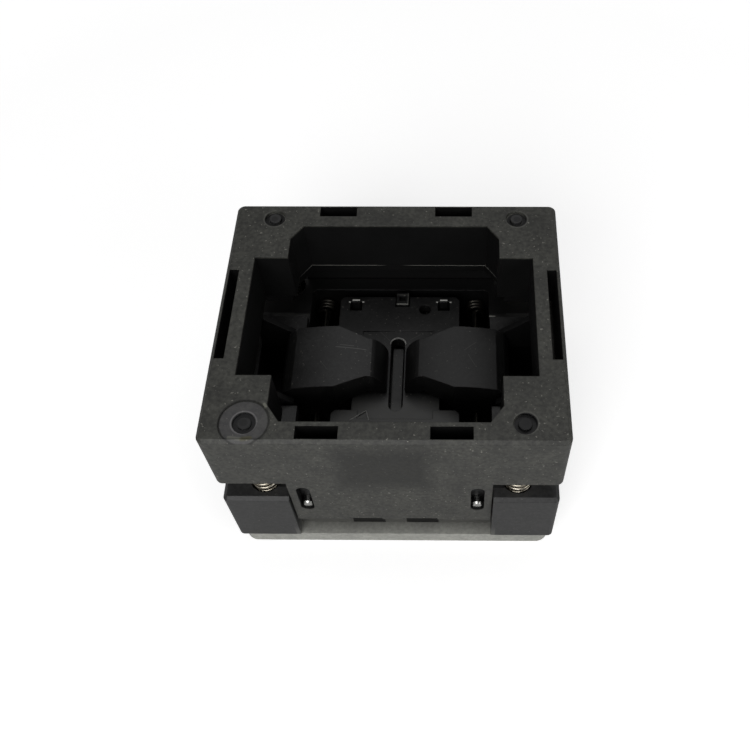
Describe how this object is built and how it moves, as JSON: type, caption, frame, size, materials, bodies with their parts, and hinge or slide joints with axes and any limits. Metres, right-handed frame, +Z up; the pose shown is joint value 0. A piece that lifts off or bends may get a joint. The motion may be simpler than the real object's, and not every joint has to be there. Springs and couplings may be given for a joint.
{
  "type": "ic test socket",
  "caption": "Open-top test socket for a small ball-grid package: pressing the cover down on its springs swings two latches open over a floating seat.",
  "frame": {"origin": "middle of the underside of the bottom plate", "axes": "+X to the right along the cover's longer side, +Y to the back, +Z up"},
  "size_m": [0.04, 0.0348, 0.026],
  "materials": {
    "cover_plastic": "matt moulded",
    "base_plastic": "matt moulded",
    "latch_plastic": "satin moulded",
    "plate_plastic": "satin",
    "steel": "ground",
    "spring_steel": "drawn wire",
    "contact_metal": "plated"
  },
  "bodies": {
    "base": {"base": "base_plastic", "bottom_plate": "plate_plastic", "plate_screws": "steel", "contact_block": "latch_plastic", "contact_retainer": "latch_plastic", "contacts": "contact_metal", "pivot_shaft_left": "steel", "pivot_shaft_right": "steel", "cover_spring_front_left": "spring_steel", "cover_spring_back_left": "spring_steel", "cover_spring_front_right": "spring_steel", "cover_spring_back_right": "spring_steel", "adapter_spring_front_left": "spring_steel", "adapter_spring_back_left": "spring_steel", "adapter_spring_front_right": "spring_steel", "adapter_spring_back_right": "spring_steel"},
    "cover": {"cover": "cover_plastic"},
    "latch_left": {"latch_left": "latch_plastic", "latch_spring_front_left": "spring_steel", "latch_spring_back_left": "spring_steel"},
    "latch_right": {"latch_right": "latch_plastic", "latch_spring_front_right": "spring_steel", "latch_spring_back_right": "spring_steel"},
    "adapter": {"adapter_plate": "latch_plastic"}
  },
  "joints": [
    {"name": "cover_press", "type": "slide", "parent": "base", "child": "cover", "axis": [0, 0, -1], "range_m": [0, 0.0033], "stiffness_N_per_m": 4000, "springref_m": -0.002, "deforming": ["cover_spring_front_left", "cover_spring_back_left", "cover_spring_front_right", "cover_spring_back_right"]},
    {"name": "latch_left_swing", "type": "hinge", "parent": "base", "child": "latch_left", "pos_m": [-0.0102, 0, 0.0097], "axis": [0, 1, 0], "range_deg": [-52, 0]},
    {"name": "latch_right_swing", "type": "hinge", "parent": "base", "child": "latch_right", "pos_m": [0.0102, 0, 0.0097], "axis": [0, 1, 0], "range_deg": [0, 52]},
    {"name": "adapter_float", "type": "slide", "parent": "base", "child": "adapter", "axis": [0, 0, -1], "range_m": [0, 0.0004], "stiffness_N_per_m": 1500, "springref_m": -0.0006, "deforming": ["adapter_spring_front_left", "adapter_spring_back_left", "adapter_spring_front_right", "adapter_spring_back_right"]}
  ],
  "couplings": [
    {"joint": "latch_left_swing", "follows": "cover_press", "rad_per_m": -275},
    {"joint": "latch_right_swing", "follows": "cover_press", "rad_per_m": 275}
  ]
}
